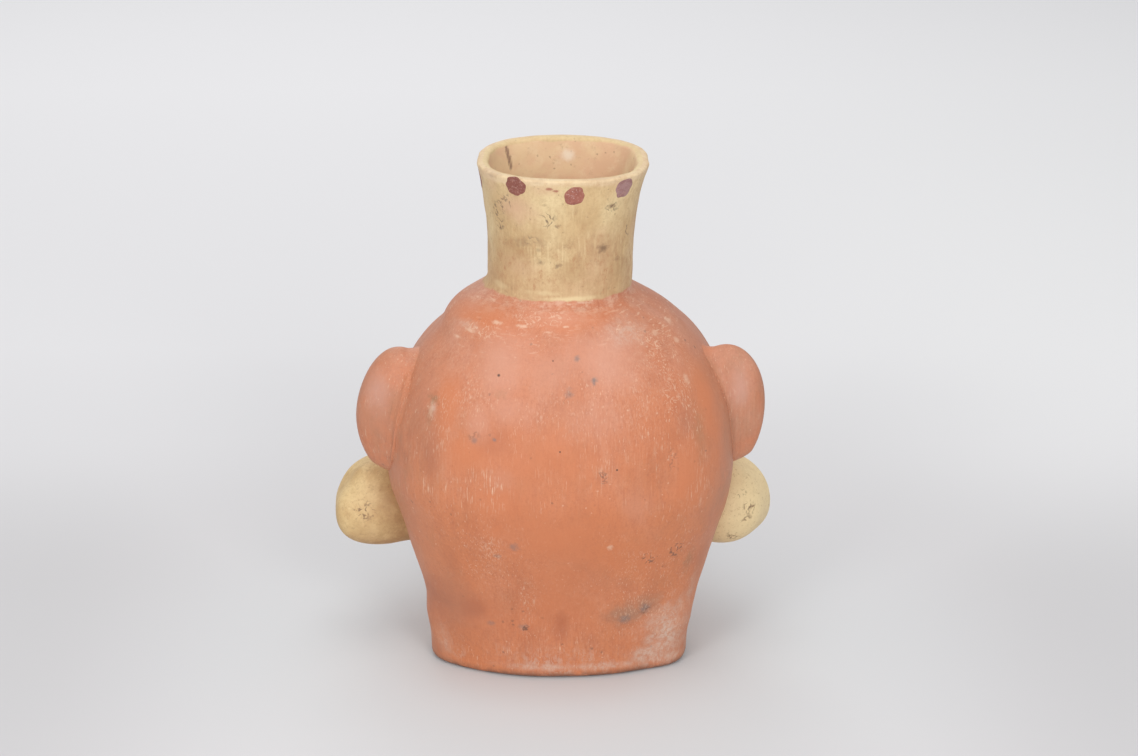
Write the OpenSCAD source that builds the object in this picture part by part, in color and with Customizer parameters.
// Ceramic head jar: two pressed halves, a flared neck, ears and round ear ornaments.
// The face looks towards -Y, the plain back of the head towards +Y, and the jar stands on z = 0.
// The origin is the middle of the foot. The neck's axis rises from it.

/* [Head shell] */
// Height of the head from the ground to the foot of the neck
head_h = 168; // [150:1:185]
// Width of the head at its widest height, without the ears
head_w = 145; // [134:0.5:156]
// Depth of the back half, from the mould seam
head_back = 53; // [46:1:62]
// Depth of the face half, from the mould seam to the sockets of the eyes
head_front = 66; // [58:1:75]
// Height of the widest line above the ground
widest_z = 90; // [80:1:100]
// Fullness of the shoulder between the widest line and the neck
shoulder_power = 2.55; // [2.3:0.05:3.2]
// How late the wall swells above the foot, 1 is an even curve
belly_power = 1.25; // [0.9:0.05:1.5]
// Squareness of the head seen from above, 2 is an ellipse
squareness = 2.25; // [2:0.05:2.8]
// Thickness of the pressed clay wall
wall_t = 6; // [4.5:0.25:7.5]

/* [Foot] */
// Width of the foot
foot_w = 111; // [100:1:118]
// Depth of the foot behind the seam
foot_back = 32; // [28:1:40]
// Depth of the foot in front of the seam
foot_front = 46; // [38:1:52]
// Radius of the rounded lower edge
foot_edge_r = 4; // [2:0.5:5]
// Thickness of the floor slab
floor_t = 8; // [6:0.5:10]

/* [Neck] */
// Height of the neck above the head
neck_h = 52; // [40:1:64]
// Outer radius at the neck's foot
neck_foot_r = 29.8; // [27:0.2:33]
// How far the rim stands out beyond the neck's foot
rim_flare = 5.4; // [3.5:0.2:9]
// Thickness of the neck's wall
neck_t = 4.8; // [4:0.2:6]
// How late the neck flares, 1 is a plain cone
flare_power = 2.8; // [1.6:0.1:3.4]

/* [Joints of clay] */
// How far the fillet round the neck's foot reaches down the shoulder
neck_fillet_drop = 4; // [3:0.5:6]
// How far the fillet round the neck's foot reaches up the neck
neck_fillet_h = 5; // [4:0.5:9]
// Width and height of the coil inside the neck's foot
inner_fillet = 5; // [3:0.5:6]
// Width and height of the coil that joins floor and wall
floor_fillet = 8; // [5:0.5:10]
// Width of the strip over each mould seam
seam_strip_w = 16; // [12:1:20]
// Thickness of the strip over each mould seam
seam_strip_t = 2.5; // [1.5:0.25:3.5]
// Width of the ridge behind each ear
ear_ridge_w = 5; // [4:0.5:7]
// Height of the ridge behind each ear
ear_ridge_h = 2; // [1.5:0.25:3]

/* [Ears] */
// How far each ear stands out beside the head's widest line
ear_out = 13; // [10.5:0.5:16]
// Height of an ear from lobe to top
ear_h = 54; // [48:1:58]
// Height of the left ear's middle above the ground
left_ear_z = 110; // [107:0.5:114]
// Height of the right ear's middle above the ground
right_ear_z = 113; // [107:0.5:116]
// Distance from the ear's middle line to its outer edge
ear_half_w = 17; // [15:0.5:20]
// How far the ear's rim stands in front of its middle plane
ear_rim_t = 4.5; // [3.5:0.25:5.5]
// How far the left ear's round back stands behind its middle plane
left_ear_bulge = 13.5; // [9:0.5:15]
// How far the right ear's flatter back stands behind its middle plane
right_ear_bulge = 7; // [5:0.5:12]
// How far the ear's middle plane lies behind the seam
ear_y = 3; // [0:0.5:6]
// Depth of the hollow in the ear
ear_hollow = 5; // [3:0.5:6]

/* [Ear ornaments] */
// Diameter of an ornament
ornament_d = 38.5; // [34:0.5:42]
// How far the left ornament's middle lies outside the head's widest line
left_ornament_out = 4.5; // [0.5:0.5:7.5]
// How far the right ornament's middle lies inside the head's widest line
right_ornament_in = 3; // [-3.5:0.5:5.5]
// Height of the ornaments' middle above the ground
ornament_z = 62.5; // [58:0.5:66]
// How far the widest line of an ornament lies in front of the seam
ornament_y = 17; // [14:0.5:20]
// Depth of the ornament's domed back
ornament_dome = 16; // [13:0.5:19]
// Height of the straight band between dome and disc
ornament_band = 4; // [2:0.5:6]
// Thickness of an ornament's wall
ornament_t = 4; // [3:0.5:5]
// Thickness of the ornament's front disc
disc_t = 4; // [3:0.5:5]
// Height of the ring and the boss on the front disc
disc_relief = 2; // [1:0.25:3]
// Diameter of the boss on the front disc
boss_d = 14; // [10:0.5:18]
// Width of the ring on the front disc
ring_w = 4; // [3:0.5:6]
// Turn of the ornaments outwards from the face
ornament_turn = 25; // [15:1:35]

/* [Painted dots] */
// Number of dots round the rim
dot_count = 8; // [6:1:12]
// Diameter of a dot
dot_d = 8.4; // [6:0.2:10]
// Distance from the rim's top down to the middle of a dot
dot_drop = 7; // [6.5:0.5:10]
// Thickness of the slip in a dot
dot_t = 0.4; // [0.3:0.1:0.6]
// Turn of the first dot from the middle of the back
dot_turn = 8; // [0:1:44]

/* [Face] */
// Height of the eyes above the ground
eye_z = 98; // [94:0.5:102]
// Width of one eye, also the gap between the eyes
eye_w = 27; // [24:0.5:29]
// Height of the brow above the ground
brow_z = 112; // [109:0.5:116]
// Height of the base of the nose above the ground
nose_z = 68; // [65:0.5:72]
// How far the tip of the nose stands out of the face
nose_out = 19; // [14:0.5:23]
// Width of the nose across its wings
nose_w = 29; // [25:0.5:33]
// Height of the line between the lips above the ground
mouth_z = 52; // [49:0.5:55]
// Width of the mouth
mouth_w = 44; // [38:0.5:50]
// Height of the middle of the chin above the ground
chin_z = 30; // [26:0.5:34]
// Fullness of cheeks, brow and jaw around the sockets of the eyes
face_fill = 5.5; // [4:0.25:7]

/* [Hidden] */
red_slip = "#bf6540";
dark_slip = "#8a3f33";
cream_slip = "#dcc58c";
bare_clay = "#d99a6a";

vessel_h = head_h + neck_h;
rim_r = neck_foot_r + rim_flare;
neck_bore_r = neck_foot_r - neck_t;
ear_reach = head_w / 2 + ear_out;
left_ornament_x = head_w / 2 + left_ornament_out;
right_ornament_x = head_w / 2 - right_ornament_in;
back_cols = 30;
face_cols = 60;
inner_cols = 16;
body_rows = 54;
inner_rows = 18;
gather = 0.35;

// Plain shaping functions
function mix(a, b, t) = a + (b - a) * t;
function clip(t) = min(1, max(0, t));
function smooth(t) = clip(t) * clip(t) * (3 - 2 * clip(t));
function bell(d, w) = exp(-d * d / (w * w));
function flat(lists) = [for (part = lists) for (item = part) item];

// Half width or half depth of the head at height z, from foot to neck
function swell(z, foot, mid, top, power) = z < widest_z
    ? mix(foot, mid, smooth(pow(max(z, 0) / widest_z, belly_power)))
    : top + (mid - top) * (1 - pow((z - widest_z) / (head_h - widest_z), power));

// Radius of a rounded section with the half sizes w and d, in the direction a
function section_r(a, w, d, n) =
    pow(pow(abs(cos(a)) / w, n) + pow(abs(sin(a)) / d, n), -1 / n);
function section_n(z) = mix(2, squareness, smooth(z / 30) * smooth((head_h - z) / 40));

// The face is built from soft bumps on the plain front, all in millimetres
function brow_form(x, z) = face_fill * 0.55 * bell(z - brow_z + 0.004 * x * x, 6) * bell(x, 44);
function socket(x, z) = bell(abs(x) - eye_w, 0.62 * eye_w) * bell(z - eye_z - 1, 11);
function eye_form(x, z) = 4.6 * pow(clip(1 - pow((abs(x) - eye_w) / (0.55 * eye_w), 2)
    - pow((z - eye_z) / 8.5, 2)), 0.8);
cheek_x = 1.37 * eye_w;
cheek_z = mix(nose_z, brow_z, 0.27);
function cheek_form(x, z) = 3.2 * bell(abs(x) - cheek_x, 0.4 * cheek_x)
    * bell(z - cheek_z, 0.32 * (brow_z - nose_z));
function nose_rise(z) = pow(clip((brow_z - 4 - z) / (brow_z - nose_z - 8)), 1.15);
function bridge_form(x, z) = mix(3, nose_out, nose_rise(z)) * smooth((z - nose_z + 3) / 7)
    * smooth((brow_z + 4 - z) / 12) * exp(-pow(abs(x) / mix(6.5, 9, nose_rise(z)), 2.4));
function wing_form(x, z) = nose_out * 0.5 * bell(abs(x) - nose_w * 0.33, 5.2) * bell(z - nose_z - 4, 5);
function nose_form(x, z) = max(bridge_form(x, z), wing_form(x, z));
function muzzle_form(x, z) = 4 * bell(x, mouth_w * 0.62) * bell(z - mouth_z, 17);
function lip_line(x) = mouth_z + 0.0022 * x * x;
function lips_form(x, z) = clip(1 - pow(x / (mouth_w / 2 + 2), 2))
    * (3.6 * bell(z - lip_line(x) - 3.8, 3.6) + 4.2 * bell(z - lip_line(x) + 3.8, 4));
function chin_form(x, z) = 8 * bell(x, 0.45 * mouth_w) * bell(z - chin_z, 0.55 * (mouth_z - chin_z));
function fill_form(x, z) = face_fill * smooth((z - 6) / 34) * (1 - socket(x, z));
function face_form(x, z) = fill_form(x, z) + brow_form(x, z) + eye_form(x, z) + cheek_form(x, z)
    + nose_form(x, z) + muzzle_form(x, z) + lips_form(x, z) + chin_form(x, z);
function face_fade(a) = a > 180 ? smooth((abs(sin(a)) - 0.12) / 0.55) : 0;
function top_fade(z) = smooth((head_h - 4 - z) / 34);

// A point of the head's outer skin, in the direction a at height z. 0 is the figure's left, 90 the back.
function edge_inset(z) = z < foot_edge_r ? foot_edge_r - sqrt(max(0, pow(foot_edge_r, 2)
    - pow(foot_edge_r - z, 2))) : 0;
function skin_plain_r(a, z) = section_r(a, swell(z, foot_w / 2, head_w / 2, neck_foot_r, shoulder_power),
    swell(z, a < 180 ? foot_back : foot_front, a < 180 ? head_back : head_front, neck_foot_r,
        shoulder_power), section_n(z)) - edge_inset(z);
function skin_r(a, z, relief = 1) = let(r = skin_plain_r(a, z), fade = face_fade(a) * top_fade(z))
    fade > 0 ? r + relief * fade * face_form(r * cos(a), z) : r;
function skin(a, z) = let(r = skin_r(a, z)) [r * cos(a), r * sin(a), z];

// A point of the inner skin. Below the top of the floor slab the wall is upright.
inner_power = shoulder_power - 0.6;
function inner_plain_r(a, z) = section_r(a,
    swell(z, foot_w / 2 - wall_t, head_w / 2 - wall_t, neck_bore_r, inner_power),
    swell(z, (a < 180 ? foot_back : foot_front) - wall_t, (a < 180 ? head_back : head_front) - wall_t,
        neck_bore_r, inner_power), section_n(z));
function inner_r(a, z) = inner_plain_r(a, max(z, floor_t))
    + 0.45 * face_fade(a) * top_fade(z) * smooth((z - floor_t - floor_fillet) / 8)
    * nose_form(skin_plain_r(a, z) * cos(a), z);
function inner(a, z) = let(r = inner_r(a, z)) [r * cos(a), r * sin(a), z];

// Directions and heights of the grids
function back_angles() = [for (i = [0:back_cols]) 180 * i / back_cols];
function face_angles() = [for (i = [0:face_cols]) let(t = i / face_cols)
    180 + 180 * t + gather * 90 / PI * sin(360 * t)];
function inner_angles(start) = [for (i = [0:inner_cols]) start + 180 * i / inner_cols];
edge_heights = [for (k = [0:2]) foot_edge_r * (1 - cos(30 * k))];
fine_heights = concat(edge_heights,
    [for (i = [0:body_rows]) mix(foot_edge_r, head_h, i / body_rows)]);
top_rows = 6;
coarse_heights = concat(edge_heights, [for (i = [0:body_rows])
    if (i % 3 == 0 || i > body_rows - top_rows) mix(foot_edge_r, head_h, i / body_rows)]);
inner_heights = concat([0], [for (i = [0:inner_rows]) mix(floor_t, head_h, i / inner_rows)]);

// Triangles of a grid whose points are numbered row by row, and the same seen from its other side
function grid_faces(rows, cols, first = 0) = flat([for (i = [0:rows - 2]) for (j = [0:cols - 2])
    let(p = first + i * cols + j)
    [[p, p + cols, p + cols + 1], [p, p + cols + 1, p + 1]]]);
function turned(faces) = [for (f = faces) [f[2], f[1], f[0]]];

// Triangles between two rows of points with their own keys, both in rising order
function lace(a, b, ka, kb, i = 0, j = 0) = i == len(a) - 1 && j == len(b) - 1 ? []
    : j == len(b) - 1 || (i < len(a) - 1 && ka[i + 1] <= kb[j + 1])
        ? concat([[a[i], a[i + 1], b[j]]], lace(a, b, ka, kb, i + 1, j))
        : concat([[a[i], b[j + 1], b[j]]], lace(a, b, ka, kb, i, j + 1));

// One half of the head: outer grid, inner grid and the four flat edges between them
module half_shell(angles, heights, start) {
    in_angles = inner_angles(start);
    cols = len(angles);
    rows = len(heights);
    in_cols = len(in_angles);
    in_rows = len(inner_heights);
    base = rows * cols;
    outer_points = [for (z = heights) for (a = angles) skin(a, z)];
    inner_points = [for (z = inner_heights) for (a = in_angles) inner(a, z)];
    low_out = [for (j = [0:cols - 1]) j];
    low_in = [for (j = [0:in_cols - 1]) base + j];
    high_out = [for (j = low_out) j + (rows - 1) * cols];
    high_in = [for (j = low_in) j + (in_rows - 1) * in_cols];
    left_out = [for (i = [0:rows - 1]) i * cols];
    left_in = [for (i = [0:in_rows - 1]) base + i * in_cols];
    right_out = [for (i = left_out) i + cols - 1];
    right_in = [for (i = left_in) i + in_cols - 1];
    polyhedron(points = concat(outer_points, inner_points), faces = concat(
        grid_faces(rows, cols),
        turned(grid_faces(in_rows, in_cols, base)),
        lace(low_out, low_in, angles, in_angles),
        turned(lace(high_out, high_in, angles, in_angles)),
        turned(lace(left_out, left_in, heights, inner_heights)),
        lace(right_out, right_in, heights, inner_heights)));
}

module back_shell() {
    color(red_slip) half_shell(back_angles(), coarse_heights, 0);
}

module face_shell() {
    color(red_slip) half_shell(face_angles(), fine_heights, 180);
}

// The floor fits the upright foot of the inner walls
floor_angles = concat(inner_angles(0), [for (i = [1:inner_cols - 1]) 180 + 180 * i / inner_cols]);
module floor_slab() {
    color(bare_clay)
        linear_extrude(floor_t)
            polygon([for (a = floor_angles) let(p = inner(a, 0)) [p[0], p[1]]]);
}

// A closed ring of clay through loops of points that all have the same length
module ring_solid(loops) {
    count = len(loops);
    size = len(loops[0]);
    polyhedron(points = flat(loops), faces = flat([for (i = [0:count - 1]) for (j = [0:size - 1])
        let(p = i * size + j, q = i * size + (j + 1) % size,
            r = ((i + 1) % count) * size + j, s = ((i + 1) % count) * size + (j + 1) % size)
        [[p, r, s], [p, s, q]]]));
}

// A bar of clay through sections that all have the same number of points, closed at both ends
module bar_solid(sections) {
    count = len(sections);
    size = len(sections[0]);
    polyhedron(points = flat(sections), faces = concat(
        flat([for (i = [0:count - 2]) for (j = [0:size - 1])
            let(p = i * size + j, q = i * size + (j + 1) % size)
            [[p, p + size, q + size], [p, q + size, q]]]),
        [for (j = [1:size - 2]) [0, j, j + 1]],
        [for (j = [1:size - 2]) let(e = (count - 1) * size) [e, e + j + 1, e + j]]));
}

// The coil in the corner between floor and wall, with a hollow face
module floor_luting() {
    fillet_row = inner_heights[2];
    function on_floor(a, w) = let(r = inner_r(a, floor_t) - w) [r * cos(a), r * sin(a), floor_t];
    function bulge(a) = let(r = inner_r(a, floor_t) - floor_fillet * 0.3)
        [r * cos(a), r * sin(a), floor_t + floor_fillet * 0.3];
    function on_wall(a) = let(p = inner(a, floor_t), q = inner(a, fillet_row),
        t = floor_fillet / (fillet_row - floor_t)) [for (k = [0:2]) mix(p[k], q[k], t)];
    color(bare_clay) ring_solid([
        [for (a = floor_angles) inner(a, floor_t)],
        [for (a = floor_angles) on_floor(a, floor_fillet)],
        [for (a = floor_angles) bulge(a)],
        [for (a = floor_angles) on_wall(a)]]);
}

// The strip pressed over the mould seam inside, from above the floor coil to below the neck coil
strip_gap = 2;
strip_heights = [for (z = inner_heights)
    if (z > floor_t + floor_fillet + strip_gap && z < head_h - inner_fillet - strip_gap - 8) z];
module seam_luting(side) {
    function strip_point(z, y, depth) = let(p = inner(0, z), next = 180 / inner_cols,
        q = inner(y < 0 ? 360 - next : next, z)) [side * (mix(p[0], q[0], y / q[1]) - depth), y, z];
    color(bare_clay) bar_solid([for (z = strip_heights) [
        strip_point(z, -seam_strip_w / 2, 0),
        strip_point(z, 0, 0),
        strip_point(z, seam_strip_w / 2, 0),
        strip_point(z, seam_strip_w / 4, seam_strip_t),
        strip_point(z, -seam_strip_w / 4, seam_strip_t)]]);
}

// Outer radius of the neck at the height h above the head
function neck_r(h) = neck_foot_r + (rim_r - neck_foot_r) * pow(h / neck_h, flare_power);
neck_steps = 16;
lip_r = neck_t / 2;
function neck_side(inset, rise = 0) = [for (i = [0:neck_steps])
    let(h = (neck_h - lip_r) * i / neck_steps) [neck_r(h) - inset, head_h + h + rise]];
function backwards(list) = [for (i = [len(list) - 1:-1:0]) list[i]];
module neck_collar() {
    lip_middle = neck_r(neck_h - lip_r) - lip_r;
    color(cream_slip)
        rotate_extrude($fn = 96)
            polygon(concat(neck_side(0),
                [for (a = [30:30:150]) [lip_middle + lip_r * cos(a), vessel_h - lip_r + lip_r * sin(a)]],
                backwards(neck_side(neck_t))));
}

// The fillet round the neck's foot lies on the top rows of the shell and against the neck
all_angles = concat([for (a = back_angles()) a], [for (i = [1:face_cols - 1]) face_angles()[i]]);
function below_neck(drop) = concat([head_h - drop], [for (z = fine_heights) if (z > head_h - drop + 0.5) z]);
module neck_outer_luting() {
    low = head_h - neck_fillet_drop;
    function on_neck(a, h) = [neck_r(h) * cos(a), neck_r(h) * sin(a), head_h + h];
    function hollow(a, t) = let(p = skin(a, low), q = on_neck(a, neck_fillet_h),
        c = [mix(p[0], neck_foot_r * cos(a), 0.75), mix(p[1], neck_foot_r * sin(a), 0.75), head_h])
        [for (k = [0:2]) pow(1 - t, 2) * p[k] + 2 * t * (1 - t) * c[k] + t * t * q[k]];
    color(cream_slip) ring_solid(concat(
        [for (z = below_neck(neck_fillet_drop)) [for (a = all_angles) skin(a, z)]],
        [for (h = [neck_fillet_h / 2, neck_fillet_h]) [for (a = all_angles) on_neck(a, h)]],
        [for (t = [0.75, 0.5, 0.25]) [for (a = all_angles) hollow(a, t)]]));
}

// The coil inside, below the neck's bore, against the inner skin of the shell
module neck_inner_luting() {
    top_row = inner_heights[len(inner_heights) - 1];
    next_row = inner_heights[len(inner_heights) - 2];
    t = inner_fillet / (top_row - next_row);
    function along(a, t) = let(p = inner(a, top_row), q = inner(a, next_row))
        [for (k = [0:2]) mix(p[k], q[k], t)];
    bore_seat = neck_bore_r + 0.4;
    function in_bore(a) = [bore_seat * cos(a), bore_seat * sin(a), head_h - inner_fillet];
    color(bare_clay) ring_solid([
        [for (a = floor_angles) along(a, 0.04)],
        [for (a = floor_angles) along(a, t)],
        [for (a = floor_angles) in_bore(a)]]);
}

// A block whose outer side is a patch of the head's skin, for cutting pieces that sit on the head.
// Its inner side lies at this share of the way out from the axis.
patch_depth = 0.55;
module skin_block(angles, heights) {
    cols = len(angles);
    rows = len(heights);
    base = rows * cols;
    outer_points = [for (z = heights) for (a = angles) skin(a, z)];
    deep_points = [for (z = heights) for (a = angles) let(p = skin(a, z))
        [p[0] * patch_depth, p[1] * patch_depth, z]];
    low = [for (j = [0:cols - 1]) j];
    high = [for (j = low) j + (rows - 1) * cols];
    left = [for (i = [0:rows - 1]) i * cols];
    right = [for (i = left) i + cols - 1];
    polyhedron(points = concat(outer_points, deep_points), faces = concat(
        grid_faces(rows, cols),
        turned(grid_faces(rows, cols, base)),
        lace(low, [for (j = low) j + base], angles, angles),
        turned(lace(high, [for (j = high) j + base], angles, angles)),
        turned(lace(left, [for (i = left) i + base], heights, heights)),
        lace(right, [for (i = right) i + base], heights, heights)));
}

// The part of the head that a piece on its side meets. side is 1 on the figure's left and -1 on its right.
reach_angle = 52;
function span(list, low, high) = [for (v = list) if (v >= low && v <= high) v];
module head_side(side, low, high) {
    mirror([side < 0 ? 1 : 0, 0, 0]) {
        skin_block(span(back_angles(), 0, reach_angle), span(coarse_heights, low, high));
        skin_block(span(face_angles(), 360 - reach_angle, 360), span(fine_heights, low, high));
    }
}

// An ear: a lobe with a round back, and in front a raised rim and a hollow
ear_turns = 32;
ear_rings = 7;
ear_root = 0.94 * ear_half_w;
ear_roundness = 2.25;
function bend(c) = sign(c) * pow(abs(c), 2 / ear_roundness);
function ear_outline(a) = [(cos(a) > 0 ? ear_half_w : ear_root) * bend(cos(a)), ear_h / 2 * bend(sin(a))];
function ear_share(x, z) = pow(pow(abs(x) / (x > 0 ? ear_half_w : ear_root), ear_roundness)
    + pow(abs(z) / (ear_h / 2), ear_roundness), 1 / ear_roundness);
function ear_lean(x) = 0.03 * x;
function ear_back(t, bulge) = bulge * sqrt(1 - pow(min(t, 1), 2.3));
function ear_front(t) = ear_rim_t * sqrt(1 - pow(t, 3)) + 1.2 * bell(t - 0.8, 0.14)
    - ear_hollow * smooth((0.72 - t) / 0.4);
function ear_point(a, t) = let(o = ear_outline(a), x = o[0] * t) [x, ear_lean(x), o[1] * t];
function back_point(a, t, bulge) = ear_point(a, t) + [0, ear_back(t, bulge), 0];
function front_point(a, t) = ear_point(a, t) - [0, ear_front(t), 0];
// Ring places from the middle to the outline, closer together where the back rounds off
function ear_ring_t(k) = sin(90 * k / ear_rings);
module ear_blank(bulge) {
    rim = [for (i = [0:ear_turns - 1]) back_point(360 * i / ear_turns, 1, bulge)];
    backs = [for (k = [ear_rings - 1:-1:1]) for (i = [0:ear_turns - 1])
        back_point(360 * i / ear_turns, ear_ring_t(k), bulge)];
    fronts = [for (k = [ear_rings - 1:-1:1]) for (i = [0:ear_turns - 1])
        front_point(360 * i / ear_turns, ear_ring_t(k))];
    side_count = (ear_rings - 1) * ear_turns;
    back_tip = ear_turns + 2 * side_count;
    function back_id(k, i) = k * ear_turns + i % ear_turns;
    function front_id(k, i) = k == 0 ? i % ear_turns : side_count + k * ear_turns + i % ear_turns;
    polyhedron(
        points = concat(rim, backs, fronts, [back_point(0, 0, bulge), front_point(0, 0)]),
        faces = concat(
            flat([for (k = [0:ear_rings - 2]) for (i = [0:ear_turns - 1]) [
                [back_id(k, i), back_id(k, i + 1), back_id(k + 1, i + 1)],
                [back_id(k, i), back_id(k + 1, i + 1), back_id(k + 1, i)],
                [front_id(k, i), front_id(k + 1, i + 1), front_id(k, i + 1)],
                [front_id(k, i), front_id(k + 1, i), front_id(k + 1, i + 1)]]]),
            [for (i = [0:ear_turns - 1])
                [back_id(ear_rings - 1, i), back_id(ear_rings - 1, i + 1), back_tip]],
            [for (i = [0:ear_turns - 1])
                [front_id(ear_rings - 1, i + 1), front_id(ear_rings - 1, i), back_tip + 1]]));
}

module ear(side, z, bulge) {
    color(red_slip)
        difference() {
            mirror([side < 0 ? 1 : 0, 0, 0])
                translate([ear_reach - ear_half_w, ear_y, z])
                    ear_blank(bulge);
            head_side(side, z - ear_h / 2 - 14, z + ear_h / 2 + 14);
        }
}

// Direction in which the ear's back comes out of the head at the height z, found by halving
function ear_meets(z, middle_z, bulge, low = 0, high = 45, steps = 16) = steps == 0 ? high
    : let(a = (low + high) / 2, p = skin(a, z), x = p[0] - ear_reach + ear_half_w,
        proud = p[1] > ear_y + ear_lean(x) + ear_back(ear_share(x, z - middle_z), bulge))
        ear_meets(z, middle_z, bulge, proud ? low : a, proud ? a : high, steps - 1);

// The ridge of clay behind an ear, laid on the skin along the ear's root
module ear_luting(side, z, bulge) {
    ridge_steps = 14;
    ridge_half = 0.41 * ear_h;
    ridge_seat = 0.1;
    function ridge_point(t, across, up) = let(h = z + ridge_half * t, a = ear_meets(h, z, bulge)
        + (across + ridge_seat) / skin_r(0, h) * 180 / PI, s = skin_r(a, h) + up + ridge_seat)
        [side * s * cos(a), s * sin(a), h];
    function thick(t) = ear_ridge_h * (1 - 0.7 * t * t);
    color(red_slip) bar_solid([for (i = [0:ridge_steps]) let(t = 2 * i / ridge_steps - 1) [
        ridge_point(t, 0, 0),
        ridge_point(t, ear_ridge_w, 0),
        ridge_point(t, 0.75 * ear_ridge_w, 0.8 * thick(t)),
        ridge_point(t, 0.5 * ear_ridge_w, thick(t)),
        ridge_point(t, 0.25 * ear_ridge_w, 0.8 * thick(t))]]);
}

// Places an ornament's axis on the head's side, with +Z of its own frame towards its front disc
module ornament_place(side, x) {
    mirror([side < 0 ? 1 : 0, 0, 0])
        translate([x, -ornament_y, ornament_z])
            rotate([90, 0, ornament_turn])
                children();
}

// The domed back of an ornament is hollow and open to the front
module ornament_cup(side, x) {
    r = ornament_d / 2;
    inner_reach = r - ornament_t;
    inner_dome = ornament_dome - ornament_t;
    color(cream_slip)
        difference() {
            ornament_place(side, x)
                rotate_extrude($fn = 72)
                    polygon(concat(
                        [for (a = [-90:7.5:0]) [r * cos(a), ornament_dome * sin(a)]],
                        [[r, ornament_band], [inner_reach, ornament_band]],
                        [for (a = [0:-10:-90]) [inner_reach * cos(a), inner_dome * sin(a)]]));
            head_side(side, ornament_z - ornament_d / 2 - 14, ornament_z + ornament_d / 2 + 14);
        }
}

module ornament_disc(side, x) {
    r = ornament_d / 2;
    face = ornament_band + disc_t;
    round_r = 1.5;
    color(cream_slip)
        difference() {
            ornament_place(side, x)
                rotate_extrude($fn = 72)
                    polygon(concat(
                        [[0, ornament_band], [r, ornament_band]],
                        [for (a = [0:30:90]) [r - round_r + round_r * cos(a),
                            face + disc_relief - round_r + round_r * sin(a)]],
                        [[r - ring_w, face + disc_relief], [r - ring_w - 1, face], [boss_d / 2, face]],
                        [for (a = [15:15:90]) [boss_d / 2 * cos(a), face + disc_relief * sin(a)]]));
            head_side(side, ornament_z - ornament_d / 2 - 14, ornament_z + ornament_d / 2 + 14);
        }
}

// The dots are thin dabs of slip that follow the flare of the neck
module rim_dots() {
    dot_z = vessel_h - dot_drop;
    band = dot_d * 0.75;
    band_steps = 4;
    color(dark_slip)
        for (i = [0:dot_count - 1])
            intersection() {
                rotate_extrude($fn = 96)
                    polygon(concat(
                        [for (k = [0:neck_steps]) let(h = (neck_h - lip_r) * k / neck_steps)
                            if (head_h + h > dot_z - band - 4) [neck_r(h), head_h + h]],
                        [for (k = [neck_steps:-1:0]) let(h = (neck_h - lip_r) * k / neck_steps)
                            if (head_h + h > dot_z - band - 4) [neck_r(h) + dot_t, head_h + h]]));
                rotate([0, 0, 90 + dot_turn + 360 * i / dot_count])
                    translate([neck_bore_r, 0, dot_z])
                        rotate([0, 90, 0])
                            cylinder(d = dot_d, h = rim_r, $fn = 48);
            }
}

back_shell();
face_shell();
floor_slab();
floor_luting();
seam_luting(1);  // left_seam_luting
seam_luting(-1);  // right_seam_luting
neck_collar();
neck_outer_luting();
neck_inner_luting();
ear(1, left_ear_z, left_ear_bulge);  // left_ear
ear(-1, right_ear_z, right_ear_bulge);  // right_ear
ear_luting(1, left_ear_z, left_ear_bulge);  // left_ear_luting
ear_luting(-1, right_ear_z, right_ear_bulge);  // right_ear_luting
ornament_cup(1, left_ornament_x);  // left_ornament_cup
ornament_cup(-1, right_ornament_x);  // right_ornament_cup
ornament_disc(1, left_ornament_x);  // left_ornament_disc
ornament_disc(-1, right_ornament_x);  // right_ornament_disc
rim_dots();
